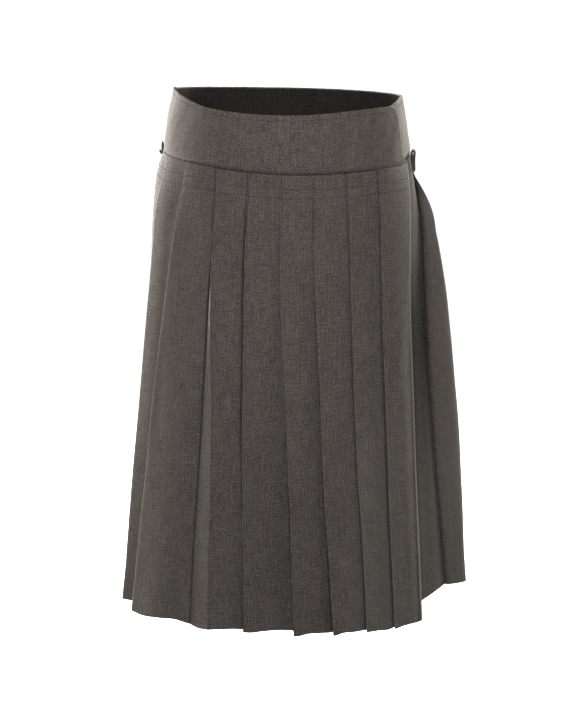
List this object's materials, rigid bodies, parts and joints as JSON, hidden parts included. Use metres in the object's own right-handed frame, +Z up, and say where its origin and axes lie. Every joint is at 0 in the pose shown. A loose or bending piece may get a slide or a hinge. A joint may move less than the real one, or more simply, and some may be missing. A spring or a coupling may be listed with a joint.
{
  "type": "pleated wrap skirt",
  "caption": "Knee-length wool wrap skirt in its worn shape, with a smooth contoured yoke, pressed knife pleats and an overlapping front; open at the waist and the hem.",
  "frame": {"origin": "centre of the waist opening, at the height of the rim at the middle of the sides, where the wearer holds the skirt", "axes": "+Z up along the wearer; the front faces -Y; +X is the wearer's left, the side on which the wrap ends"},
  "size_m": [0.3995, 0.2993, 0.6001],
  "materials": {
    "yoke_cloth": "grey-brown worsted wool in a fine two-tone plain weave, matt, doubled and pressed flat",
    "skirt_cloth": "grey-brown worsted wool in a fine two-tone plain weave, matt, pressed into pleats",
    "tab_cloth": "the same wool, folded and pressed"
  },
  "bodies": {
    "root": {"front_yoke": "yoke_cloth", "back_yoke": "yoke_cloth", "front_skirt": "skirt_cloth", "back_skirt": "skirt_cloth", "hip_tab_left": "tab_cloth", "hip_tab_right": "tab_cloth"}
  },
  "joints": []
}
